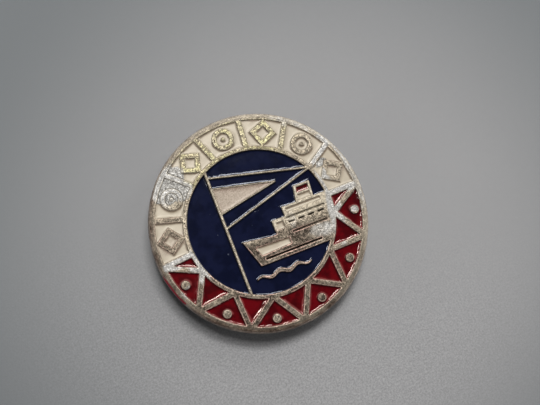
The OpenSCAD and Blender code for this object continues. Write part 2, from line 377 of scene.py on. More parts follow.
class Net:
    def __init__(self, nt):
        self.nt = nt
        self.coord = nt.nodes.new("ShaderNodeTexCoord")

    def link(self, a, b):
        self.nt.links.new(a, b)

    def put(self, sock, v):
        if hasattr(v, "links"):
            self.link(v, sock)
        elif isinstance(v, (tuple, list)):
            sock.default_value = (*v, 1.0) if len(v) == 3 and len(sock.default_value) == 4 else v
        else:
            sock.default_value = v

    def attr(self, name):
        n = self.nt.nodes.new("ShaderNodeAttribute")
        n.attribute_type = "GEOMETRY"
        n.attribute_name = name
        return n.outputs["Fac"]

    def noise(self, size_mm, detail=3.0, rough=0.55, stretch=None):
        n = self.nt.nodes.new("ShaderNodeTexNoise")
        n.inputs["Scale"].default_value = 1000.0 / size_mm
        n.inputs["Detail"].default_value = detail
        n.inputs["Roughness"].default_value = rough
        src = self.coord.outputs["Object"]
        if stretch:
            m = self.nt.nodes.new("ShaderNodeMapping")
            m.inputs["Scale"].default_value = stretch
            self.link(src, m.inputs["Vector"])
            src = m.outputs[0]
        self.link(src, n.inputs["Vector"])
        return n.outputs["Fac"]

    def voronoi(self, size_mm, feature="F1", out="Distance"):
        n = self.nt.nodes.new("ShaderNodeTexVoronoi")
        n.feature = feature
        n.inputs["Scale"].default_value = 1000.0 / size_mm
        self.link(self.coord.outputs["Object"], n.inputs["Vector"])
        return n.outputs[out]

    def red(self, color):
        n = self.nt.nodes.new("ShaderNodeSeparateColor")
        self.link(color, n.inputs[0])
        return n.outputs[0]

    def dot(self, vec):
        n = self.nt.nodes.new("ShaderNodeVectorMath")
        n.operation = "DOT_PRODUCT"
        self.link(self.coord.outputs["Object"], n.inputs[0])
        n.inputs[1].default_value = vec
        return n.outputs["Value"]

    def ramp(self, fac, stops):
        n = self.nt.nodes.new("ShaderNodeValToRGB")
        el = n.color_ramp.elements
        while len(el) > 1:
            el.remove(el[-1])
        for k, (p, c) in enumerate(stops):
            e = el[0] if k == 0 else el.new(p)
            e.position = p
            e.color = (*c, 1.0) if isinstance(c, tuple) else (c, c, c, 1.0)
        self.put(n.inputs["Fac"], fac)
        return n.outputs["Color"]

    def map(self, v, a, b, c=0.0, d=1.0):
        n = self.nt.nodes.new("ShaderNodeMapRange")
        n.interpolation_type = "SMOOTHSTEP"
        self.put(n.inputs["Value"], v)
        for k, x in zip(("From Min", "From Max", "To Min", "To Max"), (a, b, c, d)):
            n.inputs[k].default_value = x
        return n.outputs[0]

    def math(self, op, a, b=0.0, clamp=False):
        n = self.nt.nodes.new("ShaderNodeMath")
        n.operation = op
        n.use_clamp = clamp
        self.put(n.inputs[0], a)
        self.put(n.inputs[1], b)
        return n.outputs[0]

    def gray(self, v):
        n = self.nt.nodes.new("ShaderNodeCombineColor")
        for k in range(3):
            self.link(v, n.inputs[k])
        return n.outputs[0]

    def mix(self, fac, a, b, kind="MIX"):
        n = self.nt.nodes.new("ShaderNodeMix")
        n.data_type = "RGBA"
        n.blend_type = kind
        n.clamp_factor = True
        self.put(n.inputs[0], fac)
        self.put(n.inputs[6], a)
        self.put(n.inputs[7], b)
        return n.outputs[2]

    def bump(self, height, dist_mm, strength=1.0, normal=None):
        n = self.nt.nodes.new("ShaderNodeBump")
        n.inputs["Strength"].default_value = strength
        n.inputs["Distance"].default_value = dist_mm * MM
        self.put(n.inputs["Height"], height)
        if normal is not None:
            self.link(normal, n.inputs["Normal"])
        return n.outputs[0]


def struck_metal():
    m, nt, b = mat_base("struck_metal_look")
    n = Net(nt)
    d, wear, dark, gold_and_glints, pale_wash_and_painted_light = (n.attr(k) for k in ("edge_d", "wear", "dark", "gold_and_glints", "pale_wash_and_painted_light"))
    lee, rim = n.attr("lee"), n.attr("rim")
    cells = n.red(n.voronoi(0.105, out="Color"))
    coarse = n.red(n.voronoi(0.175, out="Color"))
    grain = n.noise(0.13, 4.0, 0.65)
    fine = n.noise(0.08, 2.0, 0.6)
    mott = n.noise(0.55, 4.0, 0.62)
    broad = n.noise(2.6, 3.0, 0.5)
    base = n.ramp(broad, [(0.35, (0.575, 0.485, 0.365)), (0.6, (0.68, 0.59, 0.46))])
    base = n.mix(n.math("MULTIPLY", rim, 0.85), base, n.mix(broad, (0.57, 0.49, 0.38), (0.70, 0.62, 0.50)))
    # golden tone of the top strokes, with painted glints there: the brightest cells stand in for grains catching the
    # light
    gold_glint_colour = n.mix(n.map(cells, 0.25, 0.75), (0.59, 0.51, 0.33), (0.80, 0.74, 0.41))
    gold_glint_colour = n.mix(n.map(n.red(n.voronoi(0.13, out="Color")), 0.80, 0.90), gold_glint_colour, (1.0, 0.96, 0.60))
    gold_glint_colour = n.mix(n.map(coarse, 0.26, 0.10), gold_glint_colour, (0.40, 0.32, 0.20))
    base = n.mix(gold_and_glints, base, gold_glint_colour)
    brown = n.mix(n.map(n.noise(0.27, 3.0, 0.7), 0.42, 0.57), (0.072, 0.055, 0.038), (0.38, 0.295, 0.23))
    brown = n.mix(n.math("MULTIPLY", rim, 0.8), brown, n.mix(n.map(mott, 0.38, 0.6), (0.13, 0.085, 0.06), (0.35, 0.245, 0.185)))
    base = n.mix(dark, base, brown)
    # pale beige: the hull's cream wash, and painted light on the rim's upper shoulder
    beige = n.mix(n.map(mott, 0.35, 0.65), (0.58, 0.50, 0.38), (0.72, 0.64, 0.50))
    base = n.mix(pale_wash_and_painted_light, base, beige)
    silver = n.mix(n.map(mott, 0.36, 0.62), (0.56, 0.54, 0.51), (0.71, 0.695, 0.67))
    base = n.mix(n.map(wear, 0.15, 0.75), base, silver)
    # worn bright along the edges of the lines, with a painted highlight on those edges, pinkish on the dark lower
    # strokes as a painted reflection of the red enamel
    edge_wear_and_highlight = n.math("MULTIPLY", n.map(d, -0.155, -0.10), n.map(d, -0.015, -0.05))
    edge_wear_and_highlight = n.math("MULTIPLY", edge_wear_and_highlight, n.map(mott, 0.3, 0.55, 0.25, 1.0))
    base = n.mix(n.math("MULTIPLY", edge_wear_and_highlight, n.math("ADD", 0.6, n.math("MULTIPLY", dark, 0.35))), base,
                 n.mix(dark, (0.82, 0.73, 0.58), (1.0, 0.68, 0.57)))
    # every grain of the struck surface has its own shade
    shade = n.math("ADD", n.math("MULTIPLY", cells, 0.80), n.math("MULTIPLY", coarse, 0.62))
    calm = n.math("MAXIMUM", n.math("MULTIPLY", gold_and_glints, 0.30), n.math("MULTIPLY", pale_wash_and_painted_light, 0.50))
    calm = n.math("MAXIMUM", calm, n.math("MAXIMUM", n.math("MULTIPLY", wear, 0.60), n.math("MULTIPLY", rim, 0.52)))
    calm = n.math("MAXIMUM", calm, n.math("MULTIPLY", edge_wear_and_highlight, 0.6))
    shade = n.math("ADD", n.math("MULTIPLY", n.math("SUBTRACT", shade, 0.71), n.math("SUBTRACT", 1.0, calm)), 0.90)
    col = n.mix(1.0, base, n.gray(shade), "MULTIPLY")
    # dark pits
    pit = n.map(grain, 0.44, 0.34)
    pit = n.math("MULTIPLY", pit, n.math("ADD", 0.16, n.math("MULTIPLY", dark, 0.65)))
    pit = n.math("MULTIPLY", pit, n.math("SUBTRACT", 1.0, n.math("MULTIPLY", rim, 0.6)))
    col = n.mix(pit, col, (0.10, 0.078, 0.055))
    # painted shade at the foot of the lines, on the walls that face away from the light (lee), over a faint line of
    # dirt at every foot
    low = n.map(d, -0.045, 0.01)
    low = n.math("MULTIPLY", low, n.math("ADD", 0.03, n.math("MULTIPLY", lee, 0.92)))
    low = n.math("MULTIPLY", low, n.math("SUBTRACT", 1.0, n.math("MULTIPLY", wear, 0.75)))
    col = n.mix(low, col, (0.06, 0.042, 0.03))
    level = n.math("ADD", n.math("ADD", 0.595, n.math("MULTIPLY", pale_wash_and_painted_light, 0.26)), n.math("MULTIPLY", wear, 0.09))
    level = n.math("MULTIPLY", level, n.math("SUBTRACT", 1.0, n.math("MULTIPLY", dark, n.math("ADD", 0.25, n.math("MULTIPLY", rim, 0.0)))))
    level = n.math("ADD", level, n.math("MULTIPLY", n.math("MULTIPLY", edge_wear_and_highlight, dark), n.math("MULTIPLY", n.math("SUBTRACT", 1.0, rim), 0.36)))
    col = n.mix(1.0, col, n.gray(level), "MULTIPLY")
    n.put(b.inputs["Base Color"], col)
    n.put(b.inputs["Metallic"], n.math("SUBTRACT", 0.85, n.math("MULTIPLY", pale_wash_and_painted_light, 0.45)))
    n.put(b.inputs["Roughness"], n.math("ADD", n.map(cells, 0.1, 0.9, 0.66, 0.48), n.math("MULTIPLY", low, 0.2)))
    bump = n.bump(coarse, 0.012, 0.6)
    bump = n.bump(cells, 0.014, 0.8, bump)
    bump = n.bump(grain, 0.04, 0.9, bump)
    bump = n.bump(fine, 0.012, 0.5, bump)
    n.put(b.inputs["Normal"], bump)
    return m


def edge_metal():
    """Flank and back of the disc: smoother, warmer, with fine drawn lines."""
    m, nt, b = mat_base("disc_flank_look")
    n = Net(nt)
    broad = n.noise(1.8, 4.0, 0.55)
    grain = n.noise(0.22, 3.0, 0.6)
    cells = n.red(n.voronoi(0.2, out="Color"))
    lines = n.noise(0.5, 2.0, 0.5, (0.5, 0.5, 14.0))
    red, shady, lit = n.attr("smear"), n.attr("dark"), n.attr("lit")
    col = n.ramp(broad, [(0.3, (0.42, 0.34, 0.28)), (0.55, (0.60, 0.51, 0.43)), (0.75, (0.52, 0.43, 0.36))])
    # painted shade on the lower flank (dark mask) and painted light on the upper shoulder (lit mask)
    col = n.mix(shady, col, n.mix(broad, (0.10, 0.066, 0.052), (0.18, 0.125, 0.10)))
    col = n.mix(lit, col, n.mix(broad, (0.76, 0.70, 0.58), (0.88, 0.82, 0.70)))
    col = n.mix(n.map(lines, 0.35, 0.7, 0.0, 0.35), col, (0.78, 0.70, 0.62))
    col = n.mix(1.0, col, n.gray(n.map(cells, 0.0, 1.0, 0.75, 1.15)), "MULTIPLY")
    col = n.mix(n.math("MULTIPLY", n.map(grain, 0.46, 0.3), 0.6), col, (0.14, 0.10, 0.08))
    patch = n.math("ADD", n.math("MULTIPLY", n.math("SUBTRACT", grain, 0.5), 0.7),
                   n.math("MULTIPLY", n.math("SUBTRACT", n.noise(0.9, 4.0, 0.65), 0.5), 2.0))
    smear = n.map(n.math("ADD", red, patch), 0.42, 0.60)
    col = n.mix(smear, col, (0.20, 0.006, 0.018))
    n.put(b.inputs["Base Color"], col)
    n.put(b.inputs["Metallic"], n.math("MULTIPLY", n.math("SUBTRACT", 1.0, smear), 0.7))
    n.put(b.inputs["Roughness"], n.map(grain, 0.3, 0.7, 0.55, 0.4))
    bump = n.bump(lines, 0.012, 0.6)
    n.put(b.inputs["Normal"], n.bump(grain, 0.03, 0.7, bump))
    return m


def enamel(name, low, high, speck, painted_highlight_col, painted_shade_col, rough, speck_amt, spec, wavy, glint, reach, tint=None):
    m, nt, b = mat_base(name)
    n = Net(nt)
    d, wear, stain, lee, dust = (n.attr(k) for k in ("edge_d", "wear", "stain", "lee", "dust"))
    broad = n.noise(1.5, 4.0, 0.55)
    fine = n.noise(0.12, 3.0, 0.6)
    mid = n.noise(0.45, 3.0, 0.6)
    cells = n.red(n.voronoi(0.13, out="Color"))
    col = n.mix(n.map(broad, 0.36, 0.64), low, high)
    col = n.mix(n.math("MULTIPLY", n.map(fine, 0.66, 0.76), speck_amt), col, speck)
    if tint:
        col = n.mix(n.map(n.noise(0.9, 3.0, 0.6), 0.52, 0.72, 0.0, 0.55), col, tint[0])
        col = n.mix(n.map(n.noise(1.3, 3.0, 0.6, (1.0, 1.3, 1.0)), 0.56, 0.74, 0.0, 0.6), col, tint[1])
    # painted highlight: a lighter band where the enamel climbs the walls that face the light; painted shade: a wider
    # dark band under the walls on the lee side
    dj = n.math("ADD", d, n.math("MULTIPLY", n.math("SUBTRACT", mid, 0.5), 0.12))
    dj2 = n.math("DIVIDE", dj, n.map(n.noise(1.1, 2.0, 0.5), 0.38, 0.62, 0.7, 1.7))
    near = n.map(dj2, reach, 0.02)
    col = n.mix(n.math("MULTIPLY", near, n.map(lee, 0.45, 0.1, 0.0, 0.6)), col, painted_highlight_col)
    painted_shade_band = n.map(dj, 0.26, 0.03)
    col = n.mix(n.math("MULTIPLY", painted_shade_band, n.map(lee, 0.35, 0.85, 0.12, 0.9)), col, painted_shade_col)
    col = n.mix(n.math("MULTIPLY", stain, 0.9), col, n.mix(n.map(fine, 0.35, 0.65), (0.19, 0.13, 0.10), (0.42, 0.33, 0.27)))
    bare = n.map(n.math("ADD", wear, n.math("MULTIPLY", n.math("SUBTRACT", mid, 0.5), 0.9)), 0.42, 0.54)
    silver = n.mix(n.map(n.noise(0.5, 4.0, 0.62), 0.36, 0.62), (0.49, 0.475, 0.45), (0.72, 0.71, 0.685))
    silver = n.mix(1.0, silver, n.gray(n.map(cells, 0.0, 1.0, 0.52, 1.22)), "MULTIPLY")
    silver = n.mix(n.math("MULTIPLY", n.map(n.noise(0.22, 3.0, 0.65), 0.45, 0.35), 0.75), silver, (0.16, 0.14, 0.115))
    vein = n.math("ABSOLUTE", n.math("SUBTRACT", n.noise(0.8, 3.0, 0.6), 0.5))
    silver = n.mix(n.math("MULTIPLY", n.map(vein, 0.035, 0.008), 0.6), silver, (0.13, 0.12, 0.11))
    col = n.mix(bare, col, silver)
    flake = n.map(n.math("ADD", dust, n.math("MULTIPLY", n.math("SUBTRACT", fine, 0.5), 0.8)), 0.45, 0.62)
    col = n.mix(flake, col, n.mix(n.map(dust, 0.72, 0.95), (0.085, 0.095, 0.135), (0.42, 0.45, 0.56)))
    n.put(b.inputs["Base Color"], col)
    n.put(b.inputs["Metallic"], n.math("MULTIPLY", bare, 0.85))
    r = n.math("ADD", n.map(mid, 0.3, 0.7, rough, rough + 0.02), n.math("MULTIPLY", bare, 0.4))
    n.put(b.inputs["Roughness"], r)
    b.inputs["Specular IOR Level"].default_value = spec
    b.inputs["Specular Tint"].default_value = (*glint, 1.0)
    b.inputs["IOR"].default_value = 1.5
    bump = n.bump(broad, 0.010, wavy)
    bump = n.bump(fine, 0.002, wavy, bump)
    bump = n.bump(n.math("MULTIPLY", n.noise(0.2, 4.0, 0.65), bare), 0.05, 1.0, bump)
    n.put(b.inputs["Normal"], bump)
    return m


def steel(name, low, high, rough, along=(1, 1, 1), rust=0.0):
    m, nt, b = mat_base(name)
    n = Net(nt)
    broad = n.noise(1.4, 4.0, 0.6)
    line = n.noise(0.3, 3.0, 0.6, along)
    fine = n.noise(0.09, 3.0, 0.6)
    col = n.mix(n.map(line, 0.35, 0.65), low, high)
    col = n.mix(n.math("MULTIPLY", n.map(broad, 0.56, 0.75), rust), col, (0.20, 0.11, 0.06))
    col = n.mix(n.math("MULTIPLY", n.map(fine, 0.4, 0.25), 0.5), col, (0.08, 0.07, 0.06))
    n.put(b.inputs["Base Color"], col)
    b.inputs["Metallic"].default_value = 1.0
    n.put(b.inputs["Roughness"], n.map(line, 0.3, 0.7, rough + 0.12, rough))
    bump = n.bump(line, 0.008, 0.6)
    n.put(b.inputs["Normal"], n.bump(fine, 0.006, 0.4, bump))
    return m


M_METAL = struck_metal()
M_EDGE = edge_metal()
# each enamel's fifth and sixth colours are a painted highlight on the walls facing the light and a painted shade under
# the lee walls
M_CREAM = enamel("cream_enamel_look", (0.465, 0.405, 0.315), (0.520, 0.458, 0.362), (0.30, 0.23, 0.17),
                 (0.58, 0.52, 0.41), (0.15, 0.105, 0.07), 0.32, 0.35, 0.3, 0.6, (1.0, 0.95, 0.86), 0.15,
                 ((0.415, 0.36, 0.275), (0.46, 0.37, 0.30)))
M_RED = enamel("red_enamel_look", (0.050, 0.0012, 0.0028), (0.118, 0.0020, 0.0048), (0.03, 0.002, 0.003),
               (0.36, 0.10, 0.095), (0.035, 0.002, 0.003), 0.09, 0.5, 0.42, 0.35, (1.0, 0.80, 0.74), 0.17)
M_BLUE = enamel("blue_enamel_look", (0.0040, 0.0054, 0.0180), (0.0066, 0.0088, 0.029), (0.04, 0.045, 0.075),
                (0.045, 0.055, 0.10), (0.002, 0.0025, 0.008), 0.075, 0.25, 0.22, 0.10, (0.86, 0.90, 1.0), 0.075)
M_STRIP = steel("strip_look", (0.42, 0.41, 0.39), (0.60, 0.59, 0.57), 0.34, (0.4, 6.0, 1.0), 0.25)
M_RIVET = steel("rivet_look", (0.50, 0.47, 0.42), (0.70, 0.67, 0.62), 0.36)
M_POST = steel("post_look", (0.40, 0.39, 0.38), (0.62, 0.61, 0.60), 0.30, (1, 1, 1), 0.2)
M_WIRE = steel("wire_look", (0.50, 0.50, 0.50), (0.74, 0.74, 0.75), 0.2, (0.25, 8.0, 8.0))


# ---------------------------------------------------------------- struck disc

body_segs = level_segments("badge_body", Z_TOP)
far = np.hypot(*body_segs.reshape(-1, 2).T).reshape(-1, 2).min(1)
R_FLAT = float(np.hypot(*body_segs.reshape(-1, 2).T).max())
holes = body_segs[far < R_FLAT - 0.05]
BODY = Field(holes)
POOLS = {n: Field(level_segments(n, Z_EN)) for n in ENAMEL}


def pool_d(x, y):
    best = np.full(np.shape(x), -1.0)
    for n, f in POOLS.items():
        lo = f.lo
        hi = f.lo + f.cell * np.array([f.nx, f.ny])
        near = (x > lo[0]) & (x < hi[0]) & (y > lo[1]) & (y < hi[1])
        v = np.full(np.shape(x), -1.0)
        v[near] = f(x[near], y[near])
        best = np.maximum(best, v)
    return best


WALL = [(-0.30, 0.0), (-0.15, 0.004), (-0.115, 0.014), (-0.08, 0.034), (-0.05, 0.062), (-0.02, 0.105),
        (0.0, 0.15), (0.02, 0.22), (0.045, 0.36), (0.07, 0.70)]
DENT = [(-0.30, 0.0), (-0.10, 0.006), (-0.05, 0.03), (0.0, 0.10), (0.03, 0.19), (0.06, 0.24)]


def metal_height(x, y, d):
    """Height of the struck surface above the back fittings, in mm."""
    cell = pool_d(x, y) > -0.045
    drop = np.where(cell, profile(d, WALL), np.minimum(profile(d, DENT), profile(d, WALL)))
    top = smooth(0.02, -0.12, d)
    w = wear_at(x, y)
    rough = 0.014 * N1.fbm(x, y, 0.28, 2) + 0.012 * N3.fbm(x, y, 1.3, 2)
    h = Z_TOP - 0.018 - drop + rough * top * (1 - 0.3 * w)
    # flattened by rubbing
    h -= 0.02 * w * top
    return h


def body_piece():
    loops = []
    for lev, step in ((-0.115, 0.13), (-0.08, 0.11), (-0.05, 0.10), (-0.02, 0.09), (0.0, 0.09), (0.02, 0.09),
                      (0.045, 0.10), (0.07, 0.12)):
        for l in BODY.contours(lev):
            e = even(l, step)
            if len(e) >= 8 and np.ptp(e, axis=0).max() > 0.05:
                loops.append(e)
    N = 400
    ang = np.linspace(0, 2 * np.pi, N, endpoint=False)
    ring = np.stack([np.cos(ang), np.sin(ang)], axis=1)
    outer = ring * R_FLAT
    loops.append(outer)
    g = hex_points((-R_FLAT, -R_FLAT), (R_FLAT, R_FLAT), 0.17, 5)
    dg = BODY(g[:, 0], g[:, 1])
    rg = np.hypot(g[:, 0], g[:, 1])
    metal = g[(dg < -0.15) & (rg < R_FLAT - 0.1)]
    g = hex_points((-R_FLAT, -R_FLAT), (R_FLAT, R_FLAT), 0.7, 6)
    dg = BODY(g[:, 0], g[:, 1])
    floor = g[dg > 0.3]
    co2, tri = triangulate(loops, np.vstack([metal, floor]))
    cen = co2[tri].mean(1)
    tri = tri[np.hypot(cen[:, 0], cen[:, 1]) < R_FLAT + 1e-3]
    area = np.cross(co2[tri[:, 1]] - co2[tri[:, 0]], co2[tri[:, 2]] - co2[tri[:, 0]])
    tri = tri[np.abs(area) > 1e-7]
    tri[area[np.abs(area) > 1e-7] < 0] = tri[area[np.abs(area) > 1e-7] < 0][:, ::-1]
    r = np.hypot(co2[:, 0], co2[:, 1])
    d = BODY(co2[:, 0], co2[:, 1])
    z = metal_height(co2[:, 0], co2[:, 1], d)
    z = np.where(d > 0.069, Z_FLOOR, z)
    # faint ledge outside the border, and the fall of the rim towards its shoulder
    z -= 0.13 * smooth(11.84, R_FLAT + 0.12, r)
    co = np.column_stack([co2, z])
    # boundary ring, in order of angle
    on = np.nonzero(np.abs(r - R_FLAT) < 1e-4)[0]
    on = on[np.argsort(np.arctan2(co2[on, 1], co2[on, 0]) % (2 * np.pi))]
    a = np.arctan2(co2[on, 1], co2[on, 0])
    # rings down the shoulder, the flank and across the back
    rs = R_OUT - R_FLAT
    prof = []
    for t in (14, 28, 42, 56, 70, 84):
        prof.append((R_FLAT + rs * math.sin(math.radians(t)), Z_TOP - 0.112 - rs * (1 - math.cos(math.radians(t))) * 0.85, 0))
    for k in range(7):
        f = k / 6
        prof.append((R_OUT - 0.004 - 0.02 * f, Z_TOP - rs - 0.07 + (Z_BACK + 0.33 - Z_TOP + rs + 0.07) * f, 1))
    prof += [(R_OUT - 0.06, Z_BACK + 0.20, 1), (R_OUT - 0.16, Z_BACK + 0.10, 1), (R_OUT - 0.30, Z_BACK + 0.03, 1),
             (R_OUT - 0.42, Z_BACK + 0.0, 1), (11.7, Z_BACK, 1), (11.25, Z_BACK, 1), (11.0, Z_BACK + 0.02, 1),
             (10.9, Z_BACK + 0.12, 1), (10.86, Z_BACK + 0.28, 1), (10.75, Z_BACK + 0.38, 1), (10.5, Z_BACK + 0.4, 1)]
    verts, faces, prev = [co], [tri[:, [0, 1, 2]].tolist()], list(on)
    base = len(co)
    smear, mats = [np.zeros(len(co))], [np.zeros(len(tri), int)]
    new_faces, new_mats = [], []
    for k, (pr, pz, flank) in enumerate(prof):
        jit = 0.010 * N2.fbm(a * 12.5, np.full(len(a), pz * 3.0), 0.5, 2) + 0.012 * N3.fbm(a * 12.5, np.full(len(a), 7.0), 2.4, 2)
        rr = pr + np.minimum(jit, 0.004) - (0.004 if flank else 0)
        zz = pz + (0.012 * N1.fbm(a * 12.5, np.full(len(a), pr * 2.0), 0.4, 2) if k < 6 else 0)
        verts.append(np.column_stack([rr * np.cos(a), rr * np.sin(a), zz * np.ones(len(a))]))
        deg = np.degrees(a) % 360
        s = smooth(185, 193, deg) * smooth(212, 201, deg)
        s = s * smooth(Z_BACK + 0.05, Z_BACK + 0.9, pz) * (1.0 if k > 1 else 0.6)
        smear.append(s)
        cur = list(range(base, base + len(a)))
        base += len(a)
        m = len(a)
        for q in range(m):
            new_faces.append((prev[q], cur[q], cur[(q + 1) % m], prev[(q + 1) % m]))
            new_mats.append(0 if k < 2 else 1)
        prev = cur
    # the recessed back: rings that thin out towards the middle
    prev_n = len(a)
    for rad, cnt in ((9.4, 200), (8.0, 200), (6.4, 100), (4.8, 100), (3.2, 50), (1.6, 50)):
        if cnt == prev_n:
            pass
        aa = np.linspace(0, 2 * np.pi, cnt, endpoint=False) + a[0]
        verts.append(np.column_stack([rad * np.cos(aa), rad * np.sin(aa), np.full(cnt, Z_BACK + 0.4)
                                      + 0.01 * N1.fbm(rad * np.cos(aa), rad * np.sin(aa), 1.2, 2)]))
        smear.append(np.zeros(cnt))
        cur = list(range(base, base + cnt))
        base += cnt
        ratio = prev_n // cnt
        for q in range(cnt):
            for s2 in range(ratio):
                p0, p1 = prev[q * ratio + s2], prev[(q * ratio + s2 + 1) % prev_n]
                if s2 < ratio // 2 or ratio == 1:
                    pass
            if ratio == 1:
                new_faces.append((prev[q], cur[q], cur[(q + 1) % cnt], prev[(q + 1) % prev_n]))
                new_mats.append(1)
            else:
                ps = [prev[(q * ratio + s2) % prev_n] for s2 in range(ratio + 1)]
                h = ratio // 2
                for s2 in range(h):
                    new_faces.append((ps[s2], cur[q], ps[s2 + 1]))
                    new_mats.append(1)
                new_faces.append((ps[h], cur[q], cur[(q + 1) % cnt]))
                new_mats.append(1)
                for s2 in range(h, ratio):
                    new_faces.append((ps[s2], cur[(q + 1) % cnt], ps[s2 + 1]))
                    new_mats.append(1)
        prev, prev_n = cur, cnt
    verts.append(np.array([[0, 0, Z_BACK + 0.4]]))
    smear.append(np.zeros(1))
    for q in range(prev_n):
        new_faces.append((prev[q], base, prev[(q + 1) % prev_n]))
        new_mats.append(1)
    V = np.vstack(verts)
    F = tri.tolist() + new_faces
    x, y = V[:, 0], V[:, 1]
    rad = np.hypot(x, y)
    dd = np.full(len(V), -0.3)
    dd[:len(co)] = d
    wear = wear_at(x, y)
    wear[len(co):] *= smooth(Z_TOP - 0.7, Z_TOP - 0.1, V[len(co):, 2])
    wear *= 1 - 0.9 * arc(x, y, 188, 300, 10) * smooth(11.92, 12.12, rad)
    ring = smooth(8.0, 8.3, rad)
    # golden tone of the top strokes, which also carries their painted glints
    gold_and_glints = arc(x, y, 58, 130, 16) * ring * smooth(11.95, 11.75, rad) * (0.75 + 0.4 * N2.fbm(x, y, 0.9, 2))
    dark = 0.85 * arc(x, y, 205, 318, 22) * ring
    dark = np.maximum(dark, 0.58 * arc(x, y, 158, 184, 10) * smooth(8.6, 9.3, rad) * smooth(12.3, 11.5, rad))
    dark = np.maximum(dark, 0.45 * arc(x, y, 330, 352, 14) * ring)
    dark = np.maximum(dark, 0.17 * arc(x, y, 2, 32, 10) * ring)
    dark = np.maximum(dark, 0.27 * arc(x, y, 40, 140, 16) * ring * smooth(8.85, 8.7, rad))
    hull = (1 - ring) * smooth(-1.0, -2.4, y - 0.03 * x) * smooth(-3.6, -2.8, x)
    dark = np.maximum(dark, hull * (0.95 - 0.35 * smooth(3.5, 6.5, x)))
    # the rim stays lighter than the lines; painted shade darkens its lower and left part, most towards the outer edge
    rim = smooth(11.75, 11.95, rad)
    side = np.maximum(0.76 * arc(x, y, 203, 290, 20), 0.70 * arc(x, y, 145, 205, 18))
    side = np.maximum(side, 0.30 * arc(x, y, 285, 322, 14))
    side = np.maximum(side, 0.32 * arc(x, y, 92, 145, 14))
    side = np.maximum(side, 0.20 * arc(x, y, 60, 92, 12) * smooth(12.2, 12.0, rad))
    dark = dark * (1 - rim) + rim * side * (0.62 + 0.9 * smooth(11.88, 12.3, rad))
    # painted shade: the flank below the rim is darker, most on the lower side
    flank_shade = np.maximum(arc(x, y, 212, 300, 26), 0.35)
    dark = np.where(rad > R_FLAT + 0.2, np.maximum(dark, flank_shade), dark)
    dark = np.clip(dark * (0.85 + 0.35 * N2.fbm(x, y, 1.0, 2)), 0, 1) * (1 - 0.8 * smooth(0.3, 0.8, wear))
    pale_wash_and_painted_light = (1 - ring) * smooth(-2.0, -1.5, y - 0.12 * x) * smooth(0.6, 1.4, x) * smooth(3.4, 2.9, y)
    pale_wash_and_painted_light = pale_wash_and_painted_light * (0.75 + 0.35 * N3.fbm(x, y, 0.9, 2)) * (1 - 0.7 * smooth(0.3, 0.7, wear))
    # painted light on the rim's shoulder towards the upper right and the top, added to the pale mask
    lit = np.maximum(arc(x, y, -2, 48, 14), 0.55 * arc(x, y, 45, 112, 16))
    lit = np.maximum(lit, 0.42 * arc(x, y, -32, 0, 12)) * smooth(11.98, 12.2, rad)
    lit *= smooth(Z_TOP - 0.75, Z_TOP - 0.35, V[:, 2]) * (0.8 + 0.3 * N2.fbm(x, y, 1.1, 2))
    pale_wash_and_painted_light = np.maximum(pale_wash_and_painted_light, lit)
    # walls on the side away from the light (lee), used for painted shade on them
    up = np.array([math.sin(math.radians(21.5)), math.cos(math.radians(21.5))])
    gx, gy = BODY.slope(x, y)
    lee = smooth(-0.3, 0.7, -(gx * up[0] + gy * up[1]))
    lee = np.where(dd > -0.28, lee, 0.5)
    o = make("struck_disc", V, F, M_METAL, {"edge_d": dd, "wear": wear, "dark": dark, "gold_and_glints": np.clip(gold_and_glints, 0, 1),
                                            "pale_wash_and_painted_light": np.clip(pale_wash_and_painted_light, 0, 1), "lee": lee, "rim": rim, "lit": np.clip(lit, 0, 1), "smear": np.concatenate(smear)})
    o.data.materials.append(M_EDGE)
    idx = np.array([0] * len(tri) + new_mats, np.int32)
    if len(idx) == len(o.data.polygons):
        o.data.polygons.foreach_set("material_index", idx)
    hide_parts("badge_body")
    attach(o, "badge")
    return o


body_piece()


# ---------------------------------------------------------------- enamel

ENAMEL_RUBS = [(-8.2, 7.3, 2.3, 1.7, 48, 1.0), (-6.9, 6.2, 1.2, 0.9, 40, 0.9), (9.0, 3.9, 0.9, 0.5, 20, 0.6)]

LOOK = {"cream": (M_CREAM, 0.0, 0.062, 0.10, "cream_enamel"),
        "red": (M_RED, -0.04, 0.075, 0.11, "red_enamel"),
        "blue": (M_BLUE, -0.05, 0.028, 0.06, "blue_enamel")}


def part_of(edge, co2, tri, area):
    """Triangles inside an outline; a thin one on a straight wall goes with its neighbours."""
    keep = inside(edge, co2[tri].mean(1))
    side = np.linalg.norm(co2[tri] - co2[np.roll(tri, -1, axis=1)], axis=2).max(1)
    sides = [((t[0], t[1]), (t[1], t[2]), (t[2], t[0])) for t in tri.tolist()]
    owner = {ab: k for k, s in enumerate(sides) for ab in s}
    near = {int(k): [owner[(b, a)] for a, b in sides[k] if (b, a) in owner]
            for k in np.nonzero(area < 0.002 * side)[0]}
    for _ in range(12):
        moved = False
        for k, around in near.items():
            vote = sum(bool(keep[q]) for q in around) >= 2
            if vote != bool(keep[k]):
                keep[k], moved = vote, True
        if not moved:
            break
    return keep


